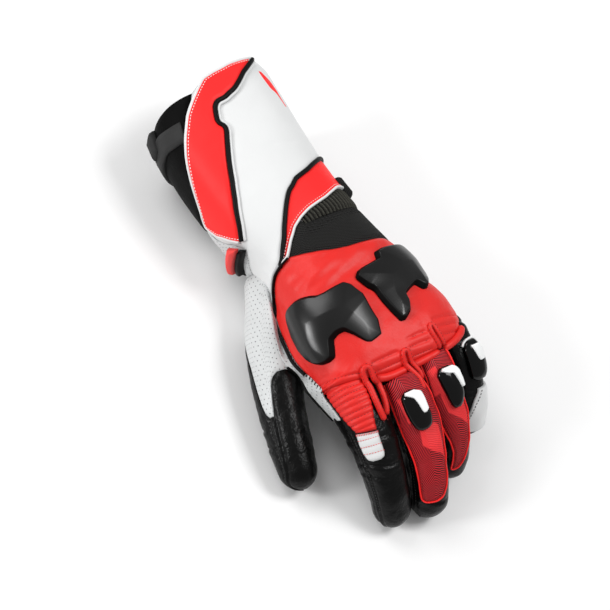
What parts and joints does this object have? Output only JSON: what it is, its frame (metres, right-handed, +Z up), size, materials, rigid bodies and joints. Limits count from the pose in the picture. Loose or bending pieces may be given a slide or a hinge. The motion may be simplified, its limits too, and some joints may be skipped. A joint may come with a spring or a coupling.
{
  "type": "leather motorcycle glove",
  "caption": "Left-hand gauntlet riding glove of red, white and black leather with hard knuckle shells, finger sliders, a ribbed wrist and a flap-closed cuff",
  "frame": {"origin": "On the table, under the middle of the glove's bounding box, with the glove lying palm down.", "axes": "+Z up, out of the back of the hand. +Y from the fingertips to the cuff mouth, the longest extent. +X toward the little finger, the thumb at -X."},
  "size_m": [0.1458, 0.3058, 0.0755],
  "materials": {
    "red_leather": "smooth red leather with a soft sheen",
    "flap_leather": "smooth bright red leather",
    "white_leather": "smooth white leather",
    "perforated_leather": "white leather with fine perforations",
    "black_leather": "black grained leather, satin",
    "printed_overlay": "dark red coated leather with fine wavy lines",
    "piping": "black piping, satin",
    "stretch_fabric": "black ribbed and knitted stretch fabric",
    "hard_shell": "glossy dark moulded plastic",
    "slider_insert": "white moulded insert",
    "buckle_plastic": "matt black moulded plastic",
    "closure_rubber": "matt dark grey rubber",
    "pull_tab": "red rubberised fabric tab"
  },
  "bodies": {
    "root": {"cuff_upper_panel": "white_leather", "cuff_lower_panel": "black_leather", "wrist_wedge": "red_leather", "wrist_ribs": "stretch_fabric", "wrist_knit": "stretch_fabric", "back_panel": "red_leather", "palm_panel": "perforated_leather", "index_finger": "black_leather", "middle_finger": "black_leather", "ring_finger": "black_leather", "little_finger": "black_leather", "thumb_gusset": "perforated_leather", "thumb_shell": "black_leather", "closure_flap": "flap_leather", "flap_piping": "piping", "wedge_piping": "piping", "wedge_binding": "white_leather", "knuckle_shell_large": "hard_shell", "knuckle_shell_small": "hard_shell", "index_stretch": "red_leather", "index_cap": "white_leather", "middle_overlay": "printed_overlay", "ring_overlay": "printed_overlay", "middle_guard": "hard_shell", "middle_insert": "slider_insert", "ring_guard": "hard_shell", "ring_insert": "slider_insert", "little_guard": "hard_shell", "little_insert": "slider_insert", "little_side_panel": "white_leather", "index_web_welt": "red_leather", "middle_web_welt": "red_leather", "ring_web_welt": "red_leather", "closure_band": "closure_rubber", "band_roll": "closure_rubber", "wrist_strap": "stretch_fabric", "strap_buckle": "buckle_plastic", "strap_pull_tab": "pull_tab", "pull_loop": "stretch_fabric"}
  },
  "joints": []
}
